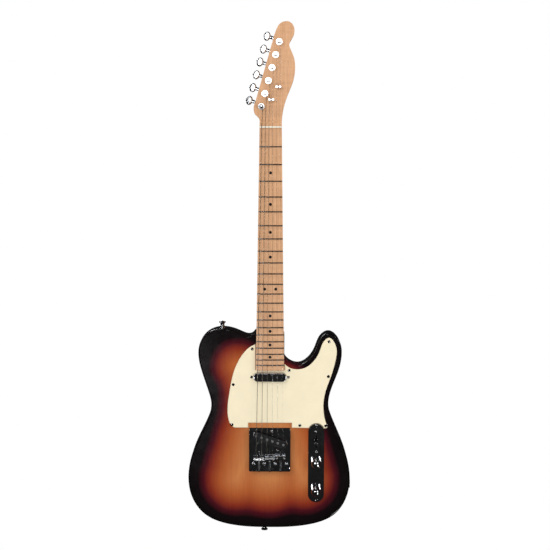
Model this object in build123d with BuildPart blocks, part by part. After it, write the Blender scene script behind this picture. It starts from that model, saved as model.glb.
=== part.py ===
from build123d import *
import math
import os

os.makedirs("parts", exist_ok=True)

# A single-cut, bolt-on electric guitar, hanging upright. +Z runs up the neck, the front faces -Y and the
# treble side is +X. The origin is on the centre line, on the fingerboard surface, where the nut begins.
# Millimetres throughout. Heights of body features are given above the saddle line, 648 mm below the nut.

# ---- driving dimensions
SCALE = 648.0
FRET_COUNT = 22
BOARD_RADIUS = 241.0
NUT_WIDTH = 42.3
HEEL_WIDTH = 56.0
NECK_DEPTH = 21.0
HEEL_DEPTH = 25.5
NECK_END = 171.5
POCKET_TOP = 247.5

FACE_Y = 9.5
BODY_THICKNESS = 45.0
BACK_Y = FACE_Y + BODY_THICKNESS
BODY_ROUND = 3.2
GUARD_THICKNESS = 2.4
GUARD_Y = FACE_Y - GUARD_THICKNESS
PLATE_THICKNESS = 1.2
PLATE_Y = FACE_Y - PLATE_THICKNESS

HEAD_Y = 8.0
HEAD_THICKNESS = 14.0
HEAD_BACK_Y = HEAD_Y + HEAD_THICKNESS

SADDLE_SPACING = 10.8
NUT_SPACING = 7.0
STRING_RADII = (0.585, 0.455, 0.33, 0.215, 0.165, 0.127)
NUT_ACTION_Y = -1.6
SADDLE_ACTION_Y = -4.6
NUT_THICKNESS = 3.2

CONTROL_X = 93.0
CONTROL_LENGTH = 161.0
CONTROL_WIDTH = 32.0
CONTROL_MIDDLE = -17.45
SWITCH_HEIGHT = 26.0
VOLUME_HEIGHT = -14.2
TONE_HEIGHT = -71.8

NECK_PICKUP_HEIGHT = 157.0
BRIDGE_PICKUP_CENTRE = (0.8, 29.7)
BRIDGE_PICKUP_SLANT = -18.4

BRIDGE_WIDTH = 82.6
BRIDGE_TOP = 54.2
BRIDGE_BOTTOM = -32.1
BRIDGE_WALL = 11.5
STRING_HOLE_HEIGHT = -14.0
FERRULE_DEPTH = 12.0
FERRULE_RADIUS = 3.95

SADDLE_RADIUS = 3.95
SADDLE_LENGTH = 20.4
SADDLE_HEIGHTS = (-8.2, -7.1, -5.4)
SADDLE_XS = (-21.6, 0.0, 21.6)

POST_LINE_ANGLE = 15.5
FIRST_POST = (-18.5, 41.6)
POST_SPACING = 25.75
POST_RADIUS = 3.0
WAIST_RADIUS = 2.55
WRAP_Y = 0.8
TREE_UNDER_Y = 3.2
TREE_TOP_Y = 2.2
TREE_GAP = 0.3
WORM_OFFSET = 6.3
WORM_DEPTH = 6.3
BUTTON_REACH = 26.2

JACK_HEIGHT = -62.0
JACK_Y = 32.0
JACK_EDGE_X = 161.0
PLUG_BORE = 3.25

FIT = 0.02
RUNNING = 0.05

# screw shank radii
GUARD_SHANK = 1.45
CONTROL_SHANK = 1.5
BRIDGE_SHANK = 1.95
PICKUP_SHANK = 1.35
NECK_SHANK = 2.1
STRAP_SHANK = 1.6
TUNER_SHANK = 1.0
TREE_SHANK = 1.1
GUARD_SCREW_HEAD = 3.0
GUARD_SCREW_SINK = 1.6

# sizes shared by neighbouring pieces
STRING_HOLE_RADIUS = 1.5
JACK_CUP_RADIUS = 11.0
JACK_BUSHING = 4.75
POT_BUSHING = 4.75
NECK_CORE = (57.0, 6.4)
BRIDGE_CORE = (63.4, 6.4)
BRIDGE_BOBBIN = (70.0, 17.0)
NECK_COVER = (66.0, 17.5)
STRAP_BUTTON_HEIGHT = 11.4
TUNER_SCREW_REACH = 9.3
TUNER_EAR = 2.2


# ---- places
def front(depth, height=-SCALE):
    """The plane facing the player's audience at a depth, its origin at a height on the centre line."""
    return Plane(origin=(0, depth, height), x_dir=(1, 0, 0), z_dir=(0, -1, 0))


def rear(depth, height=-SCALE):
    """The plane facing backwards; its x axis runs to the bass side."""
    return Plane(origin=(0, depth, height), x_dir=(-1, 0, 0), z_dir=(0, 1, 0))


def board_fall(x):
    """How far the fingerboard's radius drops at a distance from the centre line."""
    return BOARD_RADIUS - math.sqrt(BOARD_RADIUS**2 - x**2)


def neck_width(z):
    """The neck's width at a height below the nut (z is zero or negative)."""
    return NUT_WIDTH + (HEEL_WIDTH - NUT_WIDTH) * min(z, 0) / (NECK_END - SCALE)


def pocket_half(height):
    """Half the neck pocket's width at a height above the saddle line."""
    return neck_width(height - SCALE) / 2 + FIT


def fret_z(number):
    return -SCALE * (1 - 2 ** (-number / 12))


def post_place(number):
    """Where tuner number 0 to 5 stands on the headstock, bass string first."""
    angle = math.radians(POST_LINE_ANGLE)
    along = number * POST_SPACING
    return FIRST_POST[0] + along * math.sin(angle), FIRST_POST[1] + along * math.cos(angle)


def tuner_plane(number, depth):
    """Faces backwards at a tuner: x points to its button, y along the row of tuners."""
    x, z = post_place(number)
    angle = math.radians(POST_LINE_ANGLE)
    return Plane(origin=(x, depth, z), x_dir=(-math.cos(angle), 0, math.sin(angle)), z_dir=(0, 1, 0))


def tangent_point(point, centre, radius, side):
    """Where the line from a point touches a circle; side +1 keeps the circle on its left, -1 on its right."""
    dx, dy = centre[0] - point[0], centre[1] - point[1]
    distance = math.hypot(dx, dy)
    reach = math.sqrt(distance**2 - radius**2)
    turn = -side * math.asin(radius / distance)
    cos, sin = math.cos(turn), math.sin(turn)
    ux, uy = (dx * cos - dy * sin) / distance, (dx * sin + dy * cos) / distance
    return point[0] + reach * ux, point[1] + reach * uy


def crossing(p, p2, q, q2):
    """Where the line through p and p2 meets the line through q and q2."""
    rx, ry = p2[0] - p[0], p2[1] - p[1]
    sx, sy = q2[0] - q[0], q2[1] - q[1]
    along = ((q[0] - p[0]) * sy - (q[1] - p[1]) * sx) / (rx * sy - ry * sx)
    return p[0] + along * rx, p[1] + along * ry


# ---- fasteners, each standing on z = 0 with its shank below
def cross_screw(head_radius, head_height, shank_radius, length, sunk=0.0):
    """A domed or oval head with a cross recess; sunk is how deep the head's cone goes below its rim."""
    with BuildPart() as screw:
        with BuildSketch(Plane.XZ):
            with BuildLine():
                rim = Line((head_radius, 0), (shank_radius, -sunk))
                shank = Polyline(rim @ 1, (shank_radius, -length + 2 * shank_radius), (0, -length))
                axis = Line(shank @ 1, (0, head_height))
                ThreePointArc(axis @ 1, (0.72 * head_radius, 0.68 * head_height), rim @ 0)
            make_face()
        revolve(axis=Axis.Z)
        with Locations((0, 0, head_height)):
            Box(1.15 * head_radius, 0.24 * head_radius, 1.1 * head_radius, mode=Mode.SUBTRACT)
            Box(0.24 * head_radius, 1.15 * head_radius, 1.1 * head_radius, mode=Mode.SUBTRACT)
    return screw.part


guard_screw = cross_screw(GUARD_SCREW_HEAD, 0.9, GUARD_SHANK, 13, sunk=GUARD_SCREW_SINK)
control_screw = cross_screw(3.2, 1.0, CONTROL_SHANK, 14)
switch_screw = cross_screw(2.7, 1.0, GUARD_SHANK, 5)
bridge_screw = cross_screw(3.9, 1.1, BRIDGE_SHANK, 24)
pickup_screw = cross_screw(2.9, 1.0, PICKUP_SHANK, 16)
neck_screw = cross_screw(4.2, 1.5, NECK_SHANK, 42)
strap_screw = cross_screw(3.4, 1.5, STRAP_SHANK, 38)
tuner_screw = cross_screw(2.1, 0.9, TUNER_SHANK, 9)
tree_screw = cross_screw(2.3, 0.9, TREE_SHANK, 16)

STRING_XS = [SADDLE_SPACING * (number - 2.5) for number in range(6)]
NUT_XS = [NUT_SPACING * (number - 2.5) for number in range(6)]


def string_end(number):
    """Where a string's centre line first touches its post's winding circle, on the treble side."""
    circle = WAIST_RADIUS + STRING_RADII[number] + 0.06
    return tangent_point((NUT_XS[number], NUT_THICKNESS), post_place(number), circle, 1)


def string_x(number, z):
    """How far across a string lies at a height between the nut and its post."""
    x, top = string_end(number)
    return NUT_XS[number] + (x - NUT_XS[number]) * (z - NUT_THICKNESS) / (top - NUT_THICKNESS)


TREE_HEIGHTS = (54.5, 79.0)
TREE_PLACES = [
    ((string_x(2, TREE_HEIGHTS[0]) + string_x(3, TREE_HEIGHTS[0])) / 2, TREE_HEIGHTS[0]),
    ((string_x(4, TREE_HEIGHTS[1]) + string_x(5, TREE_HEIGHTS[1])) / 2, TREE_HEIGHTS[1]),
]
GUARD_SCREWS = [
    (-35.2, 213.5), (-72.9, 141.8), (-75.6, 60.8), (117.0, 228.5),
    (116.2, 158.7), (38.2, 170.6), (60.0, 59.6), (111.6, 58.8),
]
BRIDGE_SCREWS = [(-32.8, -18.6), (-11.0, -18.6), (11.0, -18.6), (32.8, -18.6)]
PICKUP_SCREWS = [(4.3, 46.4), (-24.6, 22.6), (15.6, 9.0)]
NECK_PICKUP_SCREWS = [(-36.6, NECK_PICKUP_HEIGHT), (36.6, NECK_PICKUP_HEIGHT)]
CONTROL_SCREWS = [(CONTROL_X, 59.2), (CONTROL_X, -94.1)]
SWITCH_SCREWS = [(CONTROL_X, SWITCH_HEIGHT + 20.65), (CONTROL_X, SWITCH_HEIGHT - 20.65)]
NECK_SCREWS = [(-19, 184.0), (19, 184.0), (-19, 235.0), (19, 235.0)]
STRAP_PLACES = [
    Plane(origin=(-95.6, JACK_Y, 253.75 - SCALE), x_dir=(1, 0, 0), z_dir=(0, 0, 1)),
    Plane(origin=(-10.3, JACK_Y, -150.7 - SCALE), x_dir=(1, 0, 0), z_dir=(0, 0, -1)),
]

# ---- body: a slab with a rounded edge, pocketed and routed from the front
BODY_OUTLINE = [
    (-29.5, 247.5), (-40, 239.6), (-60, 245.2), (-89, 253.4), (-119, 247.6), (-138, 227.5), (-142.6, 205),
    (-136.6, 170), (-122.5, 127), (-117, 101), (-123.5, 72), (-145.6, 24.5), (-161.3, -24), (-163.4, -50),
    (-156.5, -88), (-130.5, -124), (-78, -145.2), (0, -150.6), (82, -144.3), (131.5, -123), (155, -87),
    (161, -50), (158.6, -24), (143.8, 25), (123.2, 74), (116.8, 101), (120.6, 127), (136.4, 170),
    (142.8, 206), (136.6, 231.5), (117, 245.4), (100, 235), (90.6, 214), (76.5, 191.5), (57, 181), (40, 185.4),
    (28.6, 197),
]
with BuildPart() as body:
    with BuildSketch(front(FACE_Y)) as body_outline:
        with BuildLine():
            edge = Spline(*BODY_OUTLINE)
            heel_side = Line(edge @ 1, (HEEL_WIDTH / 2 + 0.6, POCKET_TOP - 8))
            heel_corner = TangentArc(heel_side @ 1, (HEEL_WIDTH / 2 - 7.4, POCKET_TOP), tangent=(0, 1))
            Line(heel_corner @ 1, edge @ 0)
        make_face()
        fillet(body_outline.vertices().sort_by_distance(BODY_OUTLINE[-1])[0], radius=9)
    extrude(amount=-BODY_THICKNESS)
    fillet(body.faces().filter_by(Axis.Y).edges(), radius=BODY_ROUND)
    # neck pocket, open at the treble side above the cutaway
    with BuildSketch(front(FACE_Y - 1)):
        with BuildLine():
            Polyline(
                (-HEEL_WIDTH / 2 - FIT, NECK_END - FIT), (HEEL_WIDTH / 2 + FIT, NECK_END - FIT),
                (pocket_half(200), 200), (pocket_half(200) + 8, 200), (pocket_half(200) + 8, POCKET_TOP + 5),
                (-pocket_half(POCKET_TOP + 5), POCKET_TOP + 5), (-HEEL_WIDTH / 2 - FIT, NECK_END - FIT),
            )
        make_face()
    extrude(amount=-(HEEL_DEPTH - FACE_Y + 1), mode=Mode.SUBTRACT)
    # pickup and control cavities
    with BuildSketch(front(FACE_Y)):
        with Locations((0, NECK_PICKUP_HEIGHT)):
            RectangleRounded(82, 21, 5)
    extrude(amount=-19, mode=Mode.SUBTRACT)
    with BuildSketch(front(FACE_Y)):
        with Locations(Location(BRIDGE_PICKUP_CENTRE, BRIDGE_PICKUP_SLANT)):
            Rectangle(75, 25)
        with Locations(*PICKUP_SCREWS):
            Circle(5.5)
        make_hull()
    extrude(amount=-22, mode=Mode.SUBTRACT)
    with BuildSketch(front(FACE_Y)):
        with Locations((CONTROL_X, CONTROL_MIDDLE)):
            RectangleRounded(27, 143, 8)
    extrude(amount=-37, mode=Mode.SUBTRACT)
    # wiring channel under the guard, and the drilled one from the bridge pickup
    with BuildSketch(front(FACE_Y)):
        with BuildLine():
            Polyline((30, 160), (36, 166), (94, 56), (86, 48), (30, 160))
        make_face()
    extrude(amount=-15, mode=Mode.SUBTRACT)
    with BuildSketch(Plane.YZ.offset(28)):
        with Locations((26, 24 - SCALE)):
            Circle(3.5)
    extrude(amount=60, mode=Mode.SUBTRACT)
    # jack bore, from the treble edge to the control cavity
    with BuildSketch(Plane.YZ.offset(CONTROL_X)):
        with Locations((JACK_Y, JACK_HEIGHT - SCALE)):
            Circle(JACK_CUP_RADIUS + 0.1)
    extrude(amount=80, mode=Mode.SUBTRACT)
    # string holes with their ferrules' counterbores behind
    with BuildSketch(front(FACE_Y)):
        with Locations(*[(x, STRING_HOLE_HEIGHT) for x in STRING_XS]):
            Circle(STRING_HOLE_RADIUS)
    extrude(amount=-BODY_THICKNESS, mode=Mode.SUBTRACT)
    with BuildSketch(rear(BACK_Y)):
        with Locations(*[(x, STRING_HOLE_HEIGHT) for x in STRING_XS]):
            Circle(FERRULE_RADIUS + FIT)
    extrude(amount=-FERRULE_DEPTH, mode=Mode.SUBTRACT)
    # pilot holes
    for places, radius, depth in (
        (GUARD_SCREWS, GUARD_SHANK, 11), (BRIDGE_SCREWS, BRIDGE_SHANK, 24), (CONTROL_SCREWS, CONTROL_SHANK, 14),
    ):
        with BuildSketch(front(FACE_Y)):
            with Locations(*places):
                Circle(radius + FIT)
        extrude(amount=-depth, mode=Mode.SUBTRACT)
    with BuildSketch(rear(BACK_Y)):
        with Locations(*NECK_SCREWS):
            Circle(NECK_SHANK + FIT)
    extrude(amount=-BODY_THICKNESS, mode=Mode.SUBTRACT)
    for place in STRAP_PLACES:
        with BuildSketch(place):
            Circle(STRAP_SHANK + FIT)
        extrude(amount=-28, mode=Mode.SUBTRACT)
body.part.label = "body"
export_step(body.part, "parts/body.step")


# ---- neck: an oval-backed shaft, a square heel and a flat headstock set back from the fingerboard
HEAD_TREBLE = [
    (21.15, 4), (22.6, 24), (27, 46.5), (35.8, 71), (43.2, 90), (47, 113), (44.8, 135), (37.8, 152),
    (35.4, 161), (39.2, 170), (44.9, 182), (43.8, 195.5), (36.3, 203.4), (27, 204.6), (17.5, 200.3),
    (10.5, 189.5), (6.6, 178.9),
]
HEAD_BASS = [(-30.5, 48.7), (-33.4, 36.5), (-30.6, 27), (-24, 20.5), (-21.15, 12), (-21.15, 4)]
SCOOP_END = 24.0
SCOOP_RADIUS = 22.0
CHANNEL_TOP = 9.6
ROD_RADIUS = 2.4
STRIPE_TOP = CHANNEL_TOP + 2 * ROD_RADIUS + 2 * FIT
TUNER_HOLE_RADIUS = 5.0
DOT_FRETS = (3, 5, 7, 9, 12, 15, 17, 19, 21)
DOT_RADIUS = 3.0
DOUBLE_DOT_SPREAD = 11.0

with BuildPart() as neck_blank:
    for z, depth in ((40, NECK_DEPTH), (NECK_END - SCALE, NECK_DEPTH + 2)):
        half = neck_width(z) / 2
        shoulder = board_fall(half) + 3
        with BuildSketch(Plane.XY.offset(z)):
            with BuildLine():
                board = ThreePointArc((-half, board_fall(half)), (0, 0), (half, board_fall(half)))
                Line(board @ 1, (half, shoulder))
                EllipticalCenterArc((0, shoulder), half, depth - shoulder, arc_size=180)
                Line((-half, shoulder), board @ 0)
            make_face()
    loft()
    # the scoop from the fingerboard down to the headstock's face
    with BuildSketch(Plane.YZ):
        with Locations((HEAD_Y - SCOOP_RADIUS, SCOOP_END)):
            Circle(SCOOP_RADIUS)
        with Locations((HEAD_Y - 15, SCOOP_END + 20)):
            Rectangle(30, 40)
    extrude(amount=40, both=True, mode=Mode.SUBTRACT)
    # headstock, its back swept down into the shaft
    with BuildSketch(front(HEAD_Y, 0)):
        with BuildLine():
            treble = Spline(*HEAD_TREBLE)
            bass = Spline(*HEAD_BASS)
            Line(treble @ 1, bass @ 0)
            Line(bass @ 1, treble @ 0)
        make_face()
    extrude(amount=-HEAD_THICKNESS)
    with BuildSketch(Plane.YZ):
        with BuildLine():
            ramp = ThreePointArc((10, 2), (18.6, 20), (HEAD_BACK_Y, 40))
            Polyline(ramp @ 1, (HEAD_BACK_Y + 4, 40), (HEAD_BACK_Y + 4, 2), ramp @ 0)
        make_face()
    extrude(amount=50, both=True, mode=Mode.SUBTRACT)
    # heel
    with BuildSketch(front(3)):
        with BuildLine():
            Polyline(
                (-HEEL_WIDTH / 2, NECK_END), (HEEL_WIDTH / 2, NECK_END), (neck_width(-374) / 2, SCALE - 374),
                (-neck_width(-374) / 2, SCALE - 374), (-HEEL_WIDTH / 2, NECK_END),
            )
        make_face()
    extrude(amount=-(HEEL_DEPTH - 3))
    with BuildSketch(Plane.YZ):
        with BuildLine():
            step = ThreePointArc((HEEL_DEPTH, POCKET_TOP - SCALE), (21, POCKET_TOP - SCALE + 16), (8, -373.9))
            Polyline(step @ 1, (HEEL_DEPTH + 2, -373.9), (HEEL_DEPTH + 2, POCKET_TOP - SCALE), step @ 0)
        make_face()
    extrude(amount=29, both=True, mode=Mode.SUBTRACT)

with BuildPart() as skunk_stripe:
    add(neck_blank.part)
    with BuildSketch(rear(STRIPE_TOP, -203)):
        SlotOverall(390, 6.4, rotation=90)
    extrude(amount=20, mode=Mode.INTERSECT)
skunk_stripe.part.label = "skunk_stripe"
export_step(skunk_stripe.part, "parts/skunk_stripe.step")

with BuildPart() as dot_pegs:
    with BuildSketch(front(-1, 0)):
        for number in DOT_FRETS:
            middle = (fret_z(number) + fret_z(number - 1)) / 2
            spread = DOUBLE_DOT_SPREAD if number == 12 else 0
            with Locations((-spread, middle), (spread, middle)):
                Circle(DOT_RADIUS)
    extrude(amount=-3.2)
with BuildPart() as side_pegs:
    for number in DOT_FRETS:
        middle = (fret_z(number) + fret_z(number - 1)) / 2
        pair = 3.0 if number == 12 else 0
        with BuildSketch(Plane.YZ.offset(-neck_width(middle) / 2 - 1)):
            with Locations((4.2, middle - pair), (4.2, middle + pair)):
                Circle(1.1)
        extrude(amount=3.2)
with BuildPart() as position_dots:
    add(neck_blank.part)
    add([dot_pegs.part, side_pegs.part], mode=Mode.INTERSECT)
position_dots.part.label = "position_dots"
export_step(position_dots.part, "parts/position_dots.step")

with BuildPart() as fret_slots:
    for number in range(1, FRET_COUNT + 1):
        with BuildSketch(Plane.XZ.offset(-3.4)):
            with Locations((0, fret_z(number))):
                Rectangle(70, 0.6)
        extrude(amount=6)

with BuildPart() as neck:
    add(neck_blank.part)
    with BuildSketch(rear(CHANNEL_TOP, -203)):
        SlotOverall(390, 6.4, rotation=90)
    extrude(amount=20, mode=Mode.SUBTRACT)
    with BuildSketch(Plane.XY.offset(NECK_END - SCALE)):
        with Locations((0, CHANNEL_TOP + ROD_RADIUS)):
            Circle(ROD_RADIUS + FIT)
    extrude(amount=90, mode=Mode.SUBTRACT)
    with BuildSketch(Plane.XY.offset(NECK_END - SCALE)):
        with Locations((0, CHANNEL_TOP + ROD_RADIUS)):
            Circle(4.6)
    extrude(amount=14, mode=Mode.SUBTRACT)
    add([dot_pegs.part, side_pegs.part, fret_slots.part], mode=Mode.SUBTRACT)
    with Locations((0, 0, NUT_THICKNESS / 2)):
        Box(NUT_WIDTH + 4, 6, NUT_THICKNESS, mode=Mode.SUBTRACT)
    for number in range(6):
        with BuildSketch(tuner_plane(number, HEAD_Y)):
            Circle(TUNER_HOLE_RADIUS)
        extrude(amount=HEAD_THICKNESS, mode=Mode.SUBTRACT)
        with BuildSketch(tuner_plane(number, HEAD_BACK_Y)):
            with Locations((0, -TUNER_SCREW_REACH)):
                Circle(TUNER_SHANK + FIT)
        extrude(amount=-8, mode=Mode.SUBTRACT)
    with BuildSketch(front(HEAD_Y, 0)):
        with Locations(*TREE_PLACES):
            Circle(TREE_SHANK + FIT)
    extrude(amount=-10, mode=Mode.SUBTRACT)
    with BuildSketch(rear(HEEL_DEPTH)):
        with Locations(*NECK_SCREWS):
            Circle(NECK_SHANK + FIT)
    extrude(amount=-12, mode=Mode.SUBTRACT)
neck.part.label = "neck"
export_step(neck.part, "parts/neck.step")

with BuildPart() as fret_crowns:
    for number in range(1, FRET_COUNT + 1):
        lean = math.radians(7.2)
        fret_plane = Plane(
            origin=(0, BOARD_RADIUS, fret_z(number)),
            x_dir=(-math.sin(lean), -math.cos(lean), 0),
            z_dir=(-math.cos(lean), math.sin(lean), 0),
        )
        with BuildSketch(fret_plane):
            with BuildLine():
                crown = ThreePointArc((BOARD_RADIUS, 1.3), (BOARD_RADIUS + 1.1, 0), (BOARD_RADIUS, -1.3))
                Polyline(
                    crown @ 1, (BOARD_RADIUS, -0.28), (BOARD_RADIUS - 1.6, -0.28),
                    (BOARD_RADIUS - 1.6, 0.28), (BOARD_RADIUS, 0.28), crown @ 0,
                )
            make_face()
        revolve(axis=Axis((0, BOARD_RADIUS, 0), (0, 0, 1)), revolution_arc=14.4)
with BuildPart() as fret_wires:
    with BuildSketch(front(-3, 0)):
        with BuildLine():
            Polyline(
                (-NUT_WIDTH / 2, 0), (NUT_WIDTH / 2, 0), (HEEL_WIDTH / 2, NECK_END - SCALE),
                (-HEEL_WIDTH / 2, NECK_END - SCALE), (-NUT_WIDTH / 2, 0),
            )
        make_face()
    extrude(amount=-8)
    add(fret_crowns.part, mode=Mode.INTERSECT)
fret_wires.part.label = "fret_wires"
export_step(fret_wires.part, "parts/fret_wires.step")

with BuildPart() as nut:
    with BuildSketch(Plane.XY):
        with BuildLine():
            crest = ThreePointArc((-NUT_WIDTH / 2, -1.5), (0, -2.7), (NUT_WIDTH / 2, -1.5))
            Polyline(crest @ 1, (NUT_WIDTH / 2, 3), (-NUT_WIDTH / 2, 3), crest @ 0)
        make_face()
    extrude(amount=NUT_THICKNESS)
    for x, radius in zip(NUT_XS, STRING_RADII):
        with Locations((x, NUT_ACTION_Y - 2 + 2 * FIT, NUT_THICKNESS / 2)):
            Box(2 * radius + 0.1, 4, 4, mode=Mode.SUBTRACT)
nut.part.label = "nut"
export_step(nut.part, "parts/nut.step")

with BuildPart() as truss_rod:
    with BuildSketch(Plane.XY.offset(NECK_END - SCALE + 1)):
        with Locations((0, CHANNEL_TOP + ROD_RADIUS)):
            Circle(ROD_RADIUS)
    extrude(amount=461)
    with BuildSketch(Plane.XY.offset(NECK_END - SCALE + 1)):
        with Locations((0, CHANNEL_TOP + ROD_RADIUS)):
            Circle(4.4)
    extrude(amount=10)
    with Locations((0, CHANNEL_TOP + ROD_RADIUS, NECK_END - SCALE + 1)):
        Box(9, 1.4, 3, mode=Mode.SUBTRACT)
        Box(1.4, 9, 3, mode=Mode.SUBTRACT)
truss_rod.part.label = "truss_rod"
export_step(truss_rod.part, "parts/truss_rod.step")

# ---- neck joint hardware
NECK_PLATE_CENTRE = (0, 209.5)
NECK_PLATE_THICKNESS = 1.8
with BuildPart() as neck_plate:
    with BuildSketch(rear(BACK_Y)):
        with Locations(NECK_PLATE_CENTRE):
            RectangleRounded(51, 64, 4)
        with Locations(*NECK_SCREWS):
            Circle(NECK_SHANK + FIT, mode=Mode.SUBTRACT)
    extrude(amount=NECK_PLATE_THICKNESS)
    chamfer(neck_plate.faces().sort_by(Axis.Y)[-1].outer_wire().edges(), length=0.7)
neck_plate.part.label = "neck_plate"
export_step(neck_plate.part, "parts/neck_plate.step")

with BuildPart(rear(BACK_Y + NECK_PLATE_THICKNESS)) as neck_screws:
    with Locations(*NECK_SCREWS):
        add(neck_screw)
neck_screws.part.label = "neck_screws"
export_step(neck_screws.part, "parts/neck_screws.step")

# ---- pickguard
GUARD_TREBLE = [
    (116.5, 53.6), (111.4, 67), (107, 92), (107.3, 109), (111.8, 131), (121.6, 159), (130.2, 190), (132.6, 208),
    (129, 224), (117.2, 236), (106.6, 228.6), (98.5, 209), (86, 188.2), (72, 176.8), (57, 172.6), (42, 174.6),
    (28.7, 184),
]
GUARD_BASS = [
    (-28.7, 222.8), (-42, 215.6), (-56.5, 199.5), (-71, 170.6), (-81, 124), (-84.6, 92), (-83.4, 76),
    (-80.5, 64),
]
with BuildPart() as pickguard:
    with BuildSketch(front(FACE_Y)) as guard_outline:
        with BuildLine():
            treble = Spline(*GUARD_TREBLE)
            bass = Spline(*GUARD_BASS)
            Polyline(
                treble @ 1, (HEEL_WIDTH / 2 + 0.7, NECK_END - 0.4), (-HEEL_WIDTH / 2 - 0.7, NECK_END - 0.4),
                bass @ 0,
            )
            Polyline(bass @ 1, (-72, 54.5), (-43.2, 54.5), (-43.2, 64.4), (44, 64.4), (44, 54.5), treble @ 0)
        make_face()
        fillet(guard_outline.vertices().sort_by_distance((-72, 54.5))[0], radius=7)
        fillet(guard_outline.vertices().sort_by_distance(GUARD_TREBLE[0])[0], radius=3)
        with Locations((CONTROL_X, CONTROL_MIDDLE)):
            SlotOverall(CONTROL_LENGTH + 1.6, CONTROL_WIDTH + 1.6, rotation=90, mode=Mode.SUBTRACT)
    extrude(amount=GUARD_THICKNESS)
    chamfer(pickguard.faces().sort_by(Axis.Y)[0].edges(), length=1.1)
    with BuildSketch(front(FACE_Y)):
        with Locations((0, NECK_PICKUP_HEIGHT)):
            SlotOverall(NECK_COVER[0] + 0.8, NECK_COVER[1] + 0.8)
        with Locations(*GUARD_SCREWS):
            Circle(GUARD_SHANK + FIT)
        with Locations(*NECK_PICKUP_SCREWS):
            Circle(PICKUP_SHANK + FIT)
    extrude(amount=GUARD_THICKNESS, mode=Mode.SUBTRACT)
    for x, height in GUARD_SCREWS:
        sink = front(GUARD_Y, height - SCALE)
        with BuildSketch(sink):
            with Locations((x, 0)):
                Circle(GUARD_SCREW_HEAD + FIT)
        with BuildSketch(sink.offset(-GUARD_SCREW_SINK)):
            with Locations((x, 0)):
                Circle(GUARD_SHANK + FIT)
        loft(mode=Mode.SUBTRACT)
pickguard.part.label = "pickguard"
export_step(pickguard.part, "parts/pickguard.step")

with BuildPart(front(GUARD_Y)) as pickguard_screws:
    with Locations(*GUARD_SCREWS):
        add(guard_screw)
pickguard_screws.part.label = "pickguard_screws"
export_step(pickguard_screws.part, "parts/pickguard_screws.step")

# ---- control plate with its switch, pots and knobs
POT_HEIGHTS = (VOLUME_HEIGHT, TONE_HEIGHT)
POT_PLACES = [(CONTROL_X, height) for height in POT_HEIGHTS]
POT_CASE_Y = 14.0
SHAFT_RADIUS = 3.175
with BuildPart() as control_plate:
    with BuildSketch(front(FACE_Y)):
        with Locations((CONTROL_X, CONTROL_MIDDLE)):
            SlotOverall(CONTROL_LENGTH, CONTROL_WIDTH, rotation=90)
        with Locations(*POT_PLACES):
            Circle(4.8, mode=Mode.SUBTRACT)
        with Locations((CONTROL_X, SWITCH_HEIGHT)):
            SlotOverall(25, 3.2, rotation=90, mode=Mode.SUBTRACT)
        with Locations(*CONTROL_SCREWS):
            Circle(CONTROL_SHANK + FIT, mode=Mode.SUBTRACT)
        with Locations(*SWITCH_SCREWS):
            Circle(GUARD_SHANK + FIT, mode=Mode.SUBTRACT)
    extrude(amount=PLATE_THICKNESS)
    chamfer(control_plate.faces().sort_by(Axis.Y)[0].outer_wire().edges(), length=0.5)
control_plate.part.label = "control_plate"
export_step(control_plate.part, "parts/control_plate.step")

with BuildPart(front(PLATE_Y)) as control_plate_screws:
    with Locations(*CONTROL_SCREWS):
        add(control_screw)
    with Locations(*SWITCH_SCREWS):
        add(switch_screw)
control_plate_screws.part.label = "control_plate_screws"
export_step(control_plate_screws.part, "parts/control_plate_screws.step")

with BuildPart() as potentiometers:
    for height in POT_HEIGHTS:
        with BuildSketch(front(POT_CASE_Y)):
            with Locations((CONTROL_X, height)):
                Circle(12)
        extrude(amount=-9.5)
        with BuildSketch(front(POT_CASE_Y)):
            with Locations((CONTROL_X, height)):
                Circle(POT_BUSHING)
        extrude(amount=POT_CASE_Y - PLATE_Y + 2.2)
        with Locations(*[(CONTROL_X + side, POT_CASE_Y + 0.6, height - SCALE + 14.5) for side in (-5, 0, 5)]):
            Box(2.2, 1.2, 8)
        with BuildSketch(front(0)):
            with Locations((CONTROL_X, height)):
                Circle(SHAFT_RADIUS + RUNNING)
        extrude(amount=-21, mode=Mode.SUBTRACT)
potentiometers.part.label = "potentiometers"
export_step(potentiometers.part, "parts/potentiometers.step")

with BuildPart() as pot_nuts:
    with BuildSketch(front(PLATE_Y)):
        with Locations(*POT_PLACES):
            RegularPolygon(5.9, 6, major_radius=False)
            Circle(POT_BUSHING + FIT, mode=Mode.SUBTRACT)
    extrude(amount=1.8)
    with BuildSketch(front(POT_CASE_Y)):
        with Locations(*POT_PLACES):
            Circle(7)
            Circle(POT_BUSHING + FIT, mode=Mode.SUBTRACT)
    extrude(amount=1.2)
pot_nuts.part.label = "pot_nuts"
export_step(pot_nuts.part, "parts/pot_nuts.step")

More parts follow.
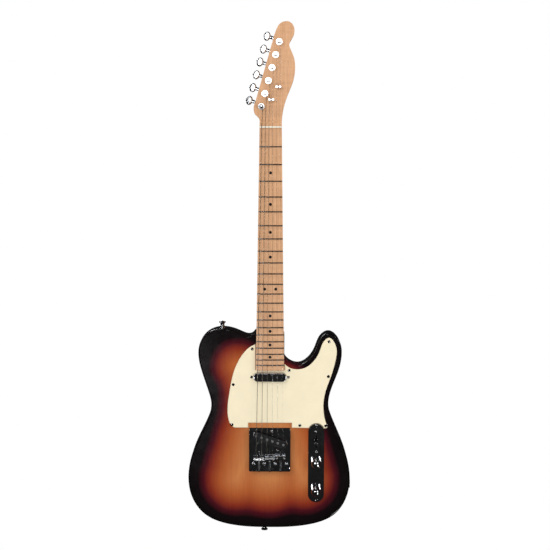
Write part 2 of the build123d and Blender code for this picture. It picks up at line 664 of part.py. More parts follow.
KNOB_RADIUS = 9.7
KNOB_BASE_Y = PLATE_Y - 1.0
KNOB_HEIGHT = 17.9
KNOB_BORE_TOP = 15.0
KNOB_SIDE = 13.4
DOME_RADIUS = 18.0
SHAFT_LENGTH = 27.5
with BuildPart() as knob:
    with BuildSketch(Plane.XZ):
        with BuildLine():
            Polyline(
                (SHAFT_RADIUS + FIT, 3), (6.9, 3), (6.9, 0), (KNOB_RADIUS - 0.5, 0), (KNOB_RADIUS, 0.5),
                (KNOB_RADIUS, KNOB_SIDE),
            )
            dome = CenterArc((0, KNOB_HEIGHT - DOME_RADIUS), DOME_RADIUS, 63, 27)
            ThreePointArc((KNOB_RADIUS, KNOB_SIDE), (KNOB_RADIUS - 0.45, KNOB_SIDE + 1.6), dome @ 0)
            Polyline(
                (0, KNOB_HEIGHT), (0, KNOB_BORE_TOP), (SHAFT_RADIUS + FIT, KNOB_BORE_TOP),
                (SHAFT_RADIUS + FIT, 3),
            )
        make_face()
    revolve(axis=Axis.Z)
    # straight knurling
    with PolarLocations(KNOB_RADIUS + 0.05, 54):
        with Locations((0, 0, 7)):
            Box(0.5, 0.5, 11, rotation=(0, 0, 45), mode=Mode.SUBTRACT)
with BuildPart() as control_shaft:
    Cylinder(SHAFT_RADIUS, SHAFT_LENGTH, align=(Align.CENTER, Align.CENTER, Align.MAX))
for name, place in zip(("volume_knob", "tone_knob"), POT_PLACES):
    with BuildPart(front(KNOB_BASE_Y)) as turning_knob:
        with Locations(place):
            add(knob.part)
        with Locations((*place, KNOB_BORE_TOP - FIT)):
            add(control_shaft.part)
    turning_knob.part.label = name
    export_step(turning_knob.part, f"parts/{name}.step")

PIVOT_Y = 24.0
PIVOT_RADIUS = 1.5
LEVER_THICKNESS = 2.0
LEVER_WIDTH = 4.6
with BuildPart() as selector_switch:
    with BuildSketch(front(FACE_Y)):
        with Locations((CONTROL_X, SWITCH_HEIGHT)):
            RectangleRounded(12, 47, 1.5)
            SlotOverall(25, 4, rotation=90, mode=Mode.SUBTRACT)
        with Locations(*SWITCH_SCREWS):
            Circle(GUARD_SHANK + FIT, mode=Mode.SUBTRACT)
    extrude(amount=-1.4)
    for side in (-1, 1):
        with Locations((CONTROL_X + side * 5.4, FACE_Y + 13, SWITCH_HEIGHT - SCALE)):
            Box(1.2, 26, 34)
    with BuildSketch(Plane.YZ.offset(CONTROL_X - 6)):
        with Locations((PIVOT_Y, SWITCH_HEIGHT - SCALE)):
            Circle(PIVOT_RADIUS)
    extrude(amount=12)
    with Locations((CONTROL_X, FACE_Y + 25.2, SWITCH_HEIGHT - SCALE)):
        Box(12, 1.6, 42)
    with Locations(*[(CONTROL_X + side * 3, FACE_Y + 27.4, SWITCH_HEIGHT - SCALE + 5 * step)
                     for side in (-1, 1) for step in (-3, -2, -1, 0, 1, 2, 3)]):
        Box(0.6, 3, 2)
selector_switch.part.label = "selector_switch"
export_step(selector_switch.part, "parts/selector_switch.step")

TIP_BASE_Y = -1.2
with BuildPart() as switch_lever:
    with BuildSketch(Plane.YZ.offset(CONTROL_X - LEVER_THICKNESS / 2)):
        with Locations((PIVOT_Y, SWITCH_HEIGHT - SCALE)):
            Circle(4.6)
        with Locations(((PIVOT_Y - 7) / 2, SWITCH_HEIGHT - SCALE)):
            Rectangle(PIVOT_Y + 7, LEVER_WIDTH)
        with Locations((PIVOT_Y, SWITCH_HEIGHT - SCALE)):
            Circle(PIVOT_RADIUS + RUNNING, mode=Mode.SUBTRACT)
    extrude(amount=LEVER_THICKNESS)
switch_lever.part.label = "switch_lever"
export_step(switch_lever.part, "parts/switch_lever.step")

with BuildPart() as switch_tip:
    for rise, radius in ((0, 3.5), (5.5, 3.2), (9.5, 4.7)):
        with BuildSketch(front(TIP_BASE_Y - rise)):
            with Locations((CONTROL_X, SWITCH_HEIGHT)):
                Circle(radius)
    loft()
    fillet(switch_tip.faces().sort_by(Axis.Y)[0].edges(), radius=1.8)
    with Locations((CONTROL_X, -3.5, SWITCH_HEIGHT - SCALE)):
        Box(LEVER_THICKNESS + 2 * FIT, 7.1, LEVER_WIDTH + 2 * FIT, mode=Mode.SUBTRACT)
switch_tip.part.label = "switch_tip"
export_step(switch_tip.part, "parts/switch_tip.step")

with BuildPart() as tone_capacitor:
    with BuildSketch(Plane.XZ.offset(-20)):
        with Locations((CONTROL_X + 4, -43 - SCALE)):
            Circle(6)
    extrude(amount=3.6)
    with Locations(*[(CONTROL_X + 4 + side, 18.2, -53.8 - SCALE) for side in (-3, 3)]):
        Cylinder(0.35, 11.4)
tone_capacitor.part.label = "tone_capacitor"
export_step(tone_capacitor.part, "parts/tone_capacitor.step")

# ---- pickups
COVER_TOP_Y = 1.2
COVER_WALL = 0.8
COIL_TOP_Y = 4.6
COIL_BASE_Y = 16.5
MAGNET_RADIUS = 2.4
with BuildPart() as neck_pickup_cover:
    with BuildSketch(front(COIL_BASE_Y)):
        with Locations((0, NECK_PICKUP_HEIGHT)):
            SlotOverall(*NECK_COVER)
    extrude(amount=COIL_BASE_Y - COVER_TOP_Y)
    fillet(neck_pickup_cover.faces().sort_by(Axis.Y)[0].edges(), radius=1.6)
    with BuildSketch(front(COIL_BASE_Y)):
        with Locations((0, NECK_PICKUP_HEIGHT)):
            SlotOverall(NECK_COVER[0] - 2 * COVER_WALL, NECK_COVER[1] - 2 * COVER_WALL)
    extrude(amount=COIL_BASE_Y - COVER_TOP_Y - COVER_WALL, mode=Mode.SUBTRACT)
neck_pickup_cover.part.label = "neck_pickup_cover"
export_step(neck_pickup_cover.part, "parts/neck_pickup_cover.step")

NECK_POLES = [(0.96 * x, NECK_PICKUP_HEIGHT) for x in STRING_XS]
with BuildPart() as neck_pickup_bobbin:
    with BuildSketch(front(COIL_TOP_Y)):
        with Locations((0, NECK_PICKUP_HEIGHT)):
            SlotOverall(62, 13)
    extrude(amount=1.6)
    with BuildSketch(front(COIL_BASE_Y)):
        with Locations((0, NECK_PICKUP_HEIGHT)):
            SlotOverall(81, 16)
    extrude(amount=-2.2)
    with BuildSketch(front(COIL_BASE_Y)):
        with Locations((0, NECK_PICKUP_HEIGHT)):
            SlotOverall(*NECK_CORE)
    extrude(amount=COIL_BASE_Y - COIL_TOP_Y)
    with BuildSketch(front(0)):
        with Locations(*NECK_POLES):
            Circle(MAGNET_RADIUS + FIT)
        with Locations(*NECK_PICKUP_SCREWS):
            Circle(PICKUP_SHANK + FIT)
    extrude(amount=-22, mode=Mode.SUBTRACT)
neck_pickup_bobbin.part.label = "neck_pickup_bobbin"
export_step(neck_pickup_bobbin.part, "parts/neck_pickup_bobbin.step")

with BuildPart() as neck_pickup_coil:
    with BuildSketch(front(COIL_BASE_Y - FIT)):
        with Locations((0, NECK_PICKUP_HEIGHT)):
            SlotOverall(61, 11.6)
            SlotOverall(NECK_CORE[0] + 2 * FIT, NECK_CORE[1] + 2 * FIT, mode=Mode.SUBTRACT)
    extrude(amount=COIL_BASE_Y - COIL_TOP_Y - 2 * FIT)
neck_pickup_coil.part.label = "neck_pickup_coil"
export_step(neck_pickup_coil.part, "parts/neck_pickup_coil.step")

with BuildPart() as neck_pickup_magnets:
    with BuildSketch(front(COVER_TOP_Y + COVER_WALL + 0.3)):
        with Locations(*NECK_POLES):
            Circle(MAGNET_RADIUS)
    extrude(amount=-16)
neck_pickup_magnets.part.label = "neck_pickup_magnets"
export_step(neck_pickup_magnets.part, "parts/neck_pickup_magnets.step")

slant = math.radians(BRIDGE_PICKUP_SLANT)
BRIDGE_POLES = [
    (x, BRIDGE_PICKUP_CENTRE[1] + (x - BRIDGE_PICKUP_CENTRE[0]) * math.tan(slant)) for x in STRING_XS
]
SLANTED = Location(BRIDGE_PICKUP_CENTRE, BRIDGE_PICKUP_SLANT)
BOBBIN_TOP_Y = 1.4
with BuildPart() as bridge_pickup_bobbin:
    with BuildSketch(front(BOBBIN_TOP_Y + 2.2)):
        with Locations(SLANTED):
            SlotOverall(*BRIDGE_BOBBIN)
    extrude(amount=2.2)
    chamfer(bridge_pickup_bobbin.faces().sort_by(Axis.Y)[0].edges(), length=0.4)
    with BuildSketch(front(COIL_BASE_Y)):
        with Locations(SLANTED):
            Rectangle(66, 20)
        with Locations(*PICKUP_SCREWS):
            Circle(4.4)
        make_hull()
    extrude(amount=-2.4)
    with BuildSketch(front(COIL_BASE_Y)):
        with Locations(SLANTED):
            SlotOverall(*BRIDGE_CORE)
    extrude(amount=COIL_BASE_Y - BOBBIN_TOP_Y - 2.2)
    with BuildSketch(front(-5)):
        with Locations(*BRIDGE_POLES):
            Circle(MAGNET_RADIUS + FIT)
        with Locations(*PICKUP_SCREWS):
            Circle(PICKUP_SHANK + FIT)
    extrude(amount=-27, mode=Mode.SUBTRACT)
bridge_pickup_bobbin.part.label = "bridge_pickup_bobbin"
export_step(bridge_pickup_bobbin.part, "parts/bridge_pickup_bobbin.step")

with BuildPart() as bridge_pickup_coil:
    with BuildSketch(front(COIL_BASE_Y - FIT)):
        with Locations(SLANTED):
            SlotOverall(69, 14.4)
            SlotOverall(BRIDGE_CORE[0] + 2 * FIT, BRIDGE_CORE[1] + 2 * FIT, mode=Mode.SUBTRACT)
    extrude(amount=COIL_BASE_Y - BOBBIN_TOP_Y - 2.2 - 2 * FIT)
bridge_pickup_coil.part.label = "bridge_pickup_coil"
export_step(bridge_pickup_coil.part, "parts/bridge_pickup_coil.step")

with BuildPart() as bridge_pickup_magnets:
    with BuildSketch(front(BOBBIN_TOP_Y - 0.5)):
        with Locations(*BRIDGE_POLES):
            Circle(MAGNET_RADIUS)
    extrude(amount=-17)
    chamfer(bridge_pickup_magnets.faces().group_by(Axis.Y)[0].edges(), length=0.3)
bridge_pickup_magnets.part.label = "bridge_pickup_magnets"
export_step(bridge_pickup_magnets.part, "parts/bridge_pickup_magnets.step")

with BuildPart(front(PLATE_Y)) as pickup_screws:
    with Locations(*PICKUP_SCREWS):
        add(pickup_screw)
    with Locations(*[(x, height, GUARD_THICKNESS - PLATE_THICKNESS) for x, height in NECK_PICKUP_SCREWS]):
        add(pickup_screw)
pickup_screws.part.label = "pickup_screws"
export_step(pickup_screws.part, "parts/pickup_screws.step")

with BuildPart() as pickup_springs:
    with BuildSketch(front(COIL_BASE_Y - 0.1)):
        with Locations(*PICKUP_SCREWS, *NECK_PICKUP_SCREWS):
            Circle(2.5)
            Circle(1.7, mode=Mode.SUBTRACT)
    extrude(amount=COIL_BASE_Y - FACE_Y - 0.2)
pickup_springs.part.label = "pickup_springs"
export_step(pickup_springs.part, "parts/pickup_springs.step")

# ---- bridge: a folded plate with three barrel saddles
BRIDGE_MIDDLE = (BRIDGE_TOP + BRIDGE_BOTTOM) / 2
BRIDGE_LENGTH = BRIDGE_TOP - BRIDGE_BOTTOM
SADDLE_PITCH_Y = SADDLE_ACTION_Y + SADDLE_RADIUS
with BuildPart() as bridge_plate:
    with BuildSketch(front(FACE_Y)):
        with Locations((0, BRIDGE_MIDDLE)):
            Rectangle(BRIDGE_WIDTH, BRIDGE_LENGTH)
    extrude(amount=BRIDGE_WALL)
    fillet(bridge_plate.edges().filter_by(Axis.Y), radius=2.2)
    with BuildSketch(front(PLATE_Y)):
        with Locations((0, BRIDGE_MIDDLE + PLATE_THICKNESS)):
            RectangleRounded(BRIDGE_WIDTH - 2 * PLATE_THICKNESS, BRIDGE_LENGTH, 1.2)
        with Locations((0, BRIDGE_TOP)):
            Rectangle(BRIDGE_WIDTH - 2 * PLATE_THICKNESS, 10)
    extrude(amount=BRIDGE_WALL, mode=Mode.SUBTRACT)
    # side walls fall away at the front end
    with BuildSketch(Plane.YZ):
        with BuildLine():
            slope = ThreePointArc(
                (FACE_Y - BRIDGE_WALL, BRIDGE_TOP - SCALE - 15), (1.5, BRIDGE_TOP - SCALE - 6),
                (PLATE_Y, BRIDGE_TOP - SCALE - 1.5),
            )
            Polyline(
                slope @ 1, (PLATE_Y, BRIDGE_TOP - SCALE + 2), (FACE_Y - BRIDGE_WALL - 2, BRIDGE_TOP - SCALE + 2),
                (FACE_Y - BRIDGE_WALL - 2, BRIDGE_TOP - SCALE - 15), slope @ 0,
            )
        make_face()
    extrude(amount=BRIDGE_WIDTH, both=True, mode=Mode.SUBTRACT)
    with BuildSketch(front(FACE_Y)):
        with Locations(SLANTED):
            SlotOverall(BRIDGE_BOBBIN[0] + 1.4, BRIDGE_BOBBIN[1] + 1.4)
        with Locations(*BRIDGE_SCREWS):
            Circle(BRIDGE_SHANK + FIT)
        with Locations(*PICKUP_SCREWS):
            Circle(PICKUP_SHANK + FIT)
        with Locations(*[(x, STRING_HOLE_HEIGHT) for x in STRING_XS]):
            Circle(STRING_HOLE_RADIUS)
    extrude(amount=BRIDGE_WALL, mode=Mode.SUBTRACT)
    with BuildSketch(Plane.XY.offset(BRIDGE_BOTTOM - SCALE)):
        with Locations(*[(x, SADDLE_PITCH_Y + 1.2) for x in SADDLE_XS]):
            Circle(1.6)
    extrude(amount=PLATE_THICKNESS + 1, mode=Mode.SUBTRACT)
bridge_plate.part.label = "bridge_plate"
export_step(bridge_plate.part, "parts/bridge_plate.step")

with BuildPart(front(PLATE_Y)) as bridge_plate_screws:
    with Locations(*BRIDGE_SCREWS):
        add(bridge_screw)
bridge_plate_screws.part.label = "bridge_plate_screws"
export_step(bridge_plate_screws.part, "parts/bridge_plate_screws.step")


def saddle_lean(x):
    """Degrees by which a barrel tips to follow the fingerboard's radius."""
    return math.degrees((board_fall(x + 5.4) - board_fall(x - 5.4)) / SADDLE_SPACING) if x else 0


def saddle_centre_y(x):
    return SADDLE_PITCH_Y + board_fall(x)


ADJUSTER_X = 7.6
ADJUSTER_RADIUS = 1.45
INTONATION_Y = SADDLE_PITCH_Y + 1.2
with BuildPart() as saddles:
    for x, height in zip(SADDLE_XS, SADDLE_HEIGHTS):
        place = Plane(
            origin=(x, saddle_centre_y(x), height - SCALE),
            x_dir=(math.cos(math.radians(saddle_lean(x))), math.sin(math.radians(saddle_lean(x))), 0),
            z_dir=(0, 0, 1),
        )
        with Locations(place.location):
            Cylinder(SADDLE_RADIUS, SADDLE_LENGTH, rotation=(0, 90, 0))
            with Locations((-ADJUSTER_X, 0, 0), (ADJUSTER_X, 0, 0)):
                Cylinder(ADJUSTER_RADIUS + FIT, 12, rotation=(90, 0, 0), mode=Mode.SUBTRACT)
        with Locations((x, INTONATION_Y, height - SCALE)):
            Cylinder(1.25 + FIT, 12, mode=Mode.SUBTRACT)
saddles.part.label = "saddles"
export_step(saddles.part, "parts/saddles.step")

with BuildPart() as saddle_height_screws:
    for x, height in zip(SADDLE_XS, SADDLE_HEIGHTS):
        lean = math.radians(saddle_lean(x))
        for side in (-ADJUSTER_X, ADJUSTER_X):
            place = Plane(
                origin=(
                    x + side * math.cos(lean),
                    saddle_centre_y(x) + side * math.sin(lean),
                    height - SCALE,
                ),
                x_dir=(0, 0, 1),
                z_dir=(math.sin(lean), -math.cos(lean), 0),
            )
            foot = (PLATE_Y - 0.25 - place.origin.Y) / math.cos(lean)
            with Locations(place.location):
                with Locations((0, 0, -foot)):
                    Cylinder(ADJUSTER_RADIUS, foot + 3.6, align=(Align.CENTER, Align.CENTER, Align.MIN))
                with Locations((0, 0, 3.6)):
                    Box(4, 0.5, 1.2, mode=Mode.SUBTRACT)
saddle_height_screws.part.label = "saddle_height_screws"
export_step(saddle_height_screws.part, "parts/saddle_height_screws.step")

intonation_screw = cross_screw(2.7, 1.6, 1.25, 38)
with BuildPart() as intonation_screws:
    with Locations(*[
        Plane(origin=(x, INTONATION_Y, BRIDGE_BOTTOM - SCALE), x_dir=(1, 0, 0), z_dir=(0, 0, -1)).location
        for x in SADDLE_XS
    ]):
        add(intonation_screw)
intonation_screws.part.label = "intonation_screws"
export_step(intonation_screws.part, "parts/intonation_screws.step")

with BuildPart() as intonation_springs:
    for x, height in zip(SADDLE_XS, SADDLE_HEIGHTS):
        low = BRIDGE_BOTTOM + PLATE_THICKNESS + 0.05
        with BuildSketch(Plane.XY.offset(low - SCALE)):
            with Locations((x, INTONATION_Y)):
                Circle(2.3)
                Circle(1.5, mode=Mode.SUBTRACT)
        extrude(amount=height - SADDLE_RADIUS - 0.1 - low)
intonation_springs.part.label = "intonation_springs"
export_step(intonation_springs.part, "parts/intonation_springs.step")

FERRULE_SEAT_Y = BACK_Y - 8.0
with BuildPart() as string_ferrules:
    with BuildSketch(rear(BACK_Y)):
        with Locations(*[(x, STRING_HOLE_HEIGHT) for x in STRING_XS]):
            Circle(FERRULE_RADIUS)
    extrude(amount=-FERRULE_DEPTH + 0.05)
    with BuildSketch(rear(BACK_Y)):
        with Locations(*[(x, STRING_HOLE_HEIGHT) for x in STRING_XS]):
            Circle(4.8)
    extrude(amount=1.1)
    fillet(string_ferrules.faces().group_by(Axis.Y)[-1].edges(), radius=0.6)
    with BuildSketch(rear(BACK_Y + 2)):
        with Locations(*[(x, STRING_HOLE_HEIGHT) for x in STRING_XS]):
            Circle(2.4)
    extrude(amount=-(BACK_Y + 2 - FERRULE_SEAT_Y), mode=Mode.SUBTRACT)
    with BuildSketch(rear(BACK_Y)):
        with Locations(*[(x, STRING_HOLE_HEIGHT) for x in STRING_XS]):
            Circle(1.2)
    extrude(amount=-20, mode=Mode.SUBTRACT)
string_ferrules.part.label = "string_ferrules"
export_step(string_ferrules.part, "parts/string_ferrules.step")

# ---- tuners: housing, bushing, worm-driven post and its button
with BuildPart() as tuner_housings:
    for number in range(6):
        with BuildSketch(tuner_plane(number, HEAD_BACK_Y)):
            with Locations((0.5, 2)):
                RectangleRounded(16.5, 17.5, 3)
        extrude(amount=12.4)
    fillet(tuner_housings.faces().group_by(Axis.Y)[-1].edges(), radius=2.4)
    for number in range(6):
        with BuildSketch(tuner_plane(number, HEAD_BACK_Y)):
            with Locations((0, -8)):
                SlotOverall(9, 6.4, rotation=90)
        extrude(amount=TUNER_EAR)
        across = tuner_plane(number, HEAD_BACK_Y + WORM_DEPTH)
        collar = Plane(origin=across.from_local_coords((0, WORM_OFFSET, 0)), x_dir=(0, 1, 0), z_dir=across.x_dir)
        with BuildSketch(collar.offset(8)):
            Circle(4.4)
        extrude(amount=6)
        with BuildSketch(collar.offset(-7)):
            Circle(2.0 + RUNNING)
        extrude(amount=22, mode=Mode.SUBTRACT)
        with BuildSketch(tuner_plane(number, HEAD_BACK_Y + 3)):
            Circle(4.6)
        extrude(amount=7, mode=Mode.SUBTRACT)
        with BuildSketch(tuner_plane(number, HEAD_BACK_Y)):
            Circle(POST_RADIUS + RUNNING)
            with Locations((0, -TUNER_SCREW_REACH)):
                Circle(TUNER_SHANK + FIT)
        extrude(amount=10, mode=Mode.SUBTRACT)
tuner_housings.part.label = "tuner_housings"
export_step(tuner_housings.part, "parts/tuner_housings.step")

with BuildPart() as tuner_bushings:
    for number in range(6):
        with BuildSketch(tuner_plane(number, HEAD_Y)):
            Circle(TUNER_HOLE_RADIUS - FIT)
        extrude(amount=HEAD_THICKNESS - FIT)
        with BuildSketch(tuner_plane(number, HEAD_Y)):
            Circle(6.2)
        extrude(amount=-0.6)
        with BuildSketch(tuner_plane(number, HEAD_Y - 0.6)):
            RegularPolygon(5.1, 6, major_radius=False)
        extrude(amount=-1.6)
        with BuildSketch(tuner_plane(number, HEAD_Y - 3)):
            Circle(POST_RADIUS + RUNNING)
        extrude(amount=HEAD_THICKNESS + 3, mode=Mode.SUBTRACT)
tuner_bushings.part.label = "tuner_bushings"
export_step(tuner_bushings.part, "parts/tuner_bushings.step")

with BuildPart() as headstock_screws:
    for number in range(6):
        seat = tuner_plane(number, HEAD_BACK_Y + TUNER_EAR).from_local_coords((0, -TUNER_SCREW_REACH, 0))
        with Locations(Plane(origin=seat, x_dir=(1, 0, 0), z_dir=(0, 1, 0)).location):
            add(tuner_screw)
    with Locations(*[Plane(origin=(x, TREE_TOP_Y, height), x_dir=(1, 0, 0), z_dir=(0, -1, 0)).location
                     for x, height in TREE_PLACES]):
        add(tree_screw)
headstock_screws.part.label = "headstock_screws"
export_step(headstock_screws.part, "parts/headstock_screws.step")

POST_HEIGHT = 11.2
WHEEL_RADIUS = 4.15
WRAPS = (3, 3, 3, 4, 5, 5)
with BuildPart() as post_blank:
    with BuildSketch(Plane.XZ):
        with BuildLine():
            Polyline(
                (0, -23), (WHEEL_RADIUS, -23), (WHEEL_RADIUS, -18), (POST_RADIUS, -18), (POST_RADIUS, 2.4),
                (WAIST_RADIUS, 2.9), (WAIST_RADIUS, 8.6), (POST_RADIUS, 9.1), (POST_RADIUS, 10.5),
                (2.3, POST_HEIGHT), (0, POST_HEIGHT), (0, -23),
            )
        make_face()
    revolve(axis=Axis.Z)
    with Locations((0, 0, 8.4)):
        Cylinder(0.8, 12, rotation=(90, 0, 0), mode=Mode.SUBTRACT)
for number, wire in enumerate(STRING_RADII):
    with BuildPart() as windings:
        with BuildSketch(Plane.XZ):
            for turn in range(1, WRAPS[number] + 1):
                with Locations((WAIST_RADIUS + wire + FIT, HEAD_Y - WRAP_Y - turn * (2 * wire + 0.06))):
                    Circle(wire)
        revolve(axis=Axis.Z)
    with BuildPart(front(HEAD_Y, 0)) as tuner_post:
        with Locations(post_place(number)):
            add([post_blank.part, windings.part])
    tuner_post.part.label = f"tuner_{number + 1}_post"
    export_step(tuner_post.part, f"parts/tuner_{number + 1}_post.step")

BUTTON_LENGTH = 12.8
BUTTON_BREADTH = 17.4
BUTTON_THICKNESS = 7.8
with BuildPart() as button_blank:
    with BuildSketch(Plane.XY.offset(-BUTTON_THICKNESS / 2)):
        with Locations((BUTTON_REACH, WORM_OFFSET)):
            Ellipse(BUTTON_LENGTH / 2, BUTTON_BREADTH / 2)
    extrude(amount=BUTTON_THICKNESS)
    fillet(button_blank.faces().filter_by(Axis.Z).edges(), radius=2.7)
    for start, end, radius in ((-6.5, BUTTON_REACH, 2.0), (15.2, BUTTON_REACH, 3.3), (BUTTON_REACH, 33.4, 2.1)):
        with BuildSketch(Plane.YZ.offset(start)):
            with Locations((WORM_OFFSET, 0)):
                Circle(radius)
        extrude(amount=end - start)
for number in range(6):
    with BuildPart() as tuner_button:
        with Locations(tuner_plane(number, HEAD_BACK_Y + WORM_DEPTH).location):
            add(button_blank.part)
    tuner_button.part.label = f"tuner_{number + 1}_button"
    export_step(tuner_button.part, f"parts/tuner_{number + 1}_button.step")

with BuildPart() as string_trees:
    for x, height in TREE_PLACES:
        with BuildSketch(front(TREE_UNDER_Y, 0)):
            with Locations((x, height)):
                RectangleRounded(12, 5, 2.2)
        extrude(amount=TREE_UNDER_Y - TREE_TOP_Y)
        with BuildSketch(front(TREE_UNDER_Y, 0)):
            with Locations((x, height)):
                Circle(1.9)
        extrude(amount=TREE_UNDER_Y - HEAD_Y)
    fillet(string_trees.faces().group_by(Axis.Y)[0].edges(), radius=0.5)
    with BuildSketch(front(HEAD_Y, 0)):
        with Locations(*TREE_PLACES):
            Circle(TREE_SHANK + FIT)
    extrude(amount=10, mode=Mode.SUBTRACT)
string_trees.part.label = "string_trees"
export_step(string_trees.part, "parts/string_trees.step")


# ---- strings: from a ball end behind the body, over a saddle and the nut, to half a turn round the post
def string_route(number):
    """The string's corners, the radius of each bend, and the arc's middle and end on its post."""
    x, wire = STRING_XS[number], STRING_RADII[number]
    barrel = number // 2
    barrel_x = SADDLE_XS[barrel]
    lean = math.radians(saddle_lean(barrel_x))
    centre = (SADDLE_HEIGHTS[barrel], -saddle_centre_y(barrel_x) - (x - barrel_x) * math.tan(lean))
    reach = SADDLE_RADIUS + wire + FIT
    hole = (STRING_HOLE_HEIGHT, -PLATE_Y)
    nut_top = (SCALE, wire - NUT_ACTION_Y)
    rise = tangent_point(hole, centre, reach, -1)
    fall = tangent_point(nut_top, centre, reach, 1)
    peak = crossing(hole, rise, nut_top, fall)
    start, end = (NUT_XS[number], NUT_THICKNESS), string_end(number)
    corners = [
        (x, FERRULE_SEAT_Y, STRING_HOLE_HEIGHT - SCALE),
        (x, PLATE_Y, STRING_HOLE_HEIGHT - SCALE),
        (x, -peak[1], peak[0] - SCALE),
        (start[0], NUT_ACTION_Y - wire, start[1]),
    ]
    bends = [3.0, reach, 8.0]
    if number > 1:
        height = TREE_HEIGHTS[(number - 2) // 2]
        corners.append((string_x(number, height), TREE_UNDER_Y + wire + TREE_GAP, height))
        bends.append(8.0)
    along = math.dist(start, end)
    level = 1 - 5 / along
    corners.append((start[0] + level * (end[0] - start[0]), WRAP_Y, start[1] + level * (end[1] - start[1])))
    bends.append(8.0)
    corners.append((end[0], WRAP_Y, end[1]))
    post = post_place(number)
    across = (end[0] - post[0], end[1] - post[1])
    arc = ((post[0] - across[1], WRAP_Y, post[1] + across[0]), (post[0] - across[0], WRAP_Y, post[1] - across[1]))
    return corners, bends, arc


for name, numbers in (("bass_strings", (0, 1, 2)), ("treble_strings", (3, 4, 5))):
    with BuildPart() as strings:
        for number in numbers:
            corners, bends, (arc_middle, arc_end) = string_route(number)
            with BuildLine() as route:
                run = FilletPolyline(*corners, radius=bends)
                ThreePointArc(run @ 1, arc_middle, arc_end)
            with BuildSketch(Plane(origin=corners[0], z_dir=(0, -1, 0))):
                Circle(STRING_RADII[number])
            sweep(path=route.wires()[0])
            with Locations((STRING_XS[number], FERRULE_SEAT_Y + 1.75, STRING_HOLE_HEIGHT - SCALE)):
                Cylinder(2.1, 3.4, rotation=(90, 0, 0))
    strings.part.label = name
    export_step(strings.part, f"parts/{name}.step")

# ---- strap buttons
with BuildPart() as strap_button:
    with BuildSketch(Plane.XZ):
        with BuildLine():
            waist = ThreePointArc((6.0, 1.2), (3.9, 5.6), (6.6, 9.6))
            Polyline(
                waist @ 1, (6.85, 10.4), (6.3, STRAP_BUTTON_HEIGHT), (STRAP_SHANK + FIT, STRAP_BUTTON_HEIGHT),
                (STRAP_SHANK + FIT, 0), (6.4, 0), waist @ 0,
            )
        make_face()
    revolve(axis=Axis.Z)
with BuildPart() as strap_buttons:
    with Locations(*[place.location for place in STRAP_PLACES]):
        add(strap_button.part)
strap_buttons.part.label = "strap_buttons"
export_step(strap_buttons.part, "parts/strap_buttons.step")

with BuildPart() as strap_button_screws:
    with Locations(*[place.offset(STRAP_BUTTON_HEIGHT).location for place in STRAP_PLACES]):
        add(strap_screw)
strap_button_screws.part.label = "strap_button_screws"
export_step(strap_button_screws.part, "parts/strap_button_screws.step")

# ---- output jack in its cup on the treble edge
CUP_DEPTH = 12.0
jack_plane = Plane(origin=(JACK_EDGE_X, JACK_Y, JACK_HEIGHT - SCALE), x_dir=(0, 1, 0), z_dir=(1, 0, 0))
with BuildPart() as jack_cup:
    with BuildSketch(jack_plane):
        Circle(JACK_CUP_RADIUS)
    extrude(amount=-CUP_DEPTH)
    with BuildSketch(jack_plane):
        Circle(12.4)
    extrude(amount=1.0)
    fillet(jack_cup.faces().sort_by(Axis.X)[-1].edges(), radius=0.5)
    with BuildSketch(jack_plane.offset(1)):
        Circle(9.6)
    with BuildSketch(jack_plane.offset(1.2 - CUP_DEPTH)):
        Circle(8.6)
    loft(mode=Mode.SUBTRACT)
    with BuildSketch(jack_plane):
        Circle(JACK_BUSHING + FIT)
    extrude(amount=-CUP_DEPTH, mode=Mode.SUBTRACT)
jack_cup.part.label = "jack_cup"
export_step(jack_cup.part, "parts/jack_cup.step")

with BuildPart() as output_jack:
    with BuildSketch(jack_plane.offset(3.6 - CUP_DEPTH)):
        Circle(JACK_BUSHING)
    extrude(amount=-11)
    with BuildSketch(jack_plane.offset(1.3 - CUP_DEPTH)):
        RegularPolygon(6.2, 6, major_radius=False)
    extrude(amount=1.9)
    with BuildSketch(jack_plane.offset(-CUP_DEPTH - 0.1)):
        Circle(8)
    extrude(amount=-1.4)
    with Locations((JACK_EDGE_X - CUP_DEPTH - 14, JACK_Y - 7, JACK_HEIGHT - SCALE)):
        Box(26, 1.2, 7)
    with Locations((JACK_EDGE_X - CUP_DEPTH - 14, JACK_Y + 7, JACK_HEIGHT - SCALE)):
        Box(26, 1.2, 7)
    with BuildSketch(jack_plane.offset(4 - CUP_DEPTH)):
        Circle(PLUG_BORE)
    extrude(amount=-20, mode=Mode.SUBTRACT)
output_jack.part.label = "output_jack"
export_step(output_jack.part, "parts/output_jack.step")

# ---- hookup wires: neck pickup, bridge pickup and jack, a live and a ground each
WIRE_RADIUS = 0.75
WIRE_BEND = 2.4
WIRE_ROUTES = [
    [(26, 21.5, 150), (32.8, 21, 156), (60.5, 20.5, 106), (84, 21, 58), (86, 22, 51), (84, 37.5, 48),
     (90, 37.5, 48), (90, 37.5, 42.1)],
    [(24, 24.8, 151), (33.2, 23.2, 154.5), (62.5, 22.9, 105), (88, 22.9, 57), (90, 24, 51), (96, 37.5, 49.5),
     (96, 37.5, 42.1)],
    [(24, 25, 21), (32, 24.6, 24), (78, 24.6, 24), (83.4, 26, 23), (83.4, 37.4, 16), (89.6, 37.4, 16)],
    [(22, 27.6, 22), (32, 27.4, 24), (79, 27.4, 24), (81.6, 30, 24.5), (81.6, 40, 11), (89.6, 37.6, 11)],
    [(93, 16.1, 1.5), (93, 27, -1), (101, 27, -34), (103, 38, -58), (112, 39.6, -61), (124, 40.4, -62)],
    [(88, 24.4, -12), (90, 24.4, -36), (98, 24.4, -58), (112, 23.6, -62), (124, 23.6, -62)],
]
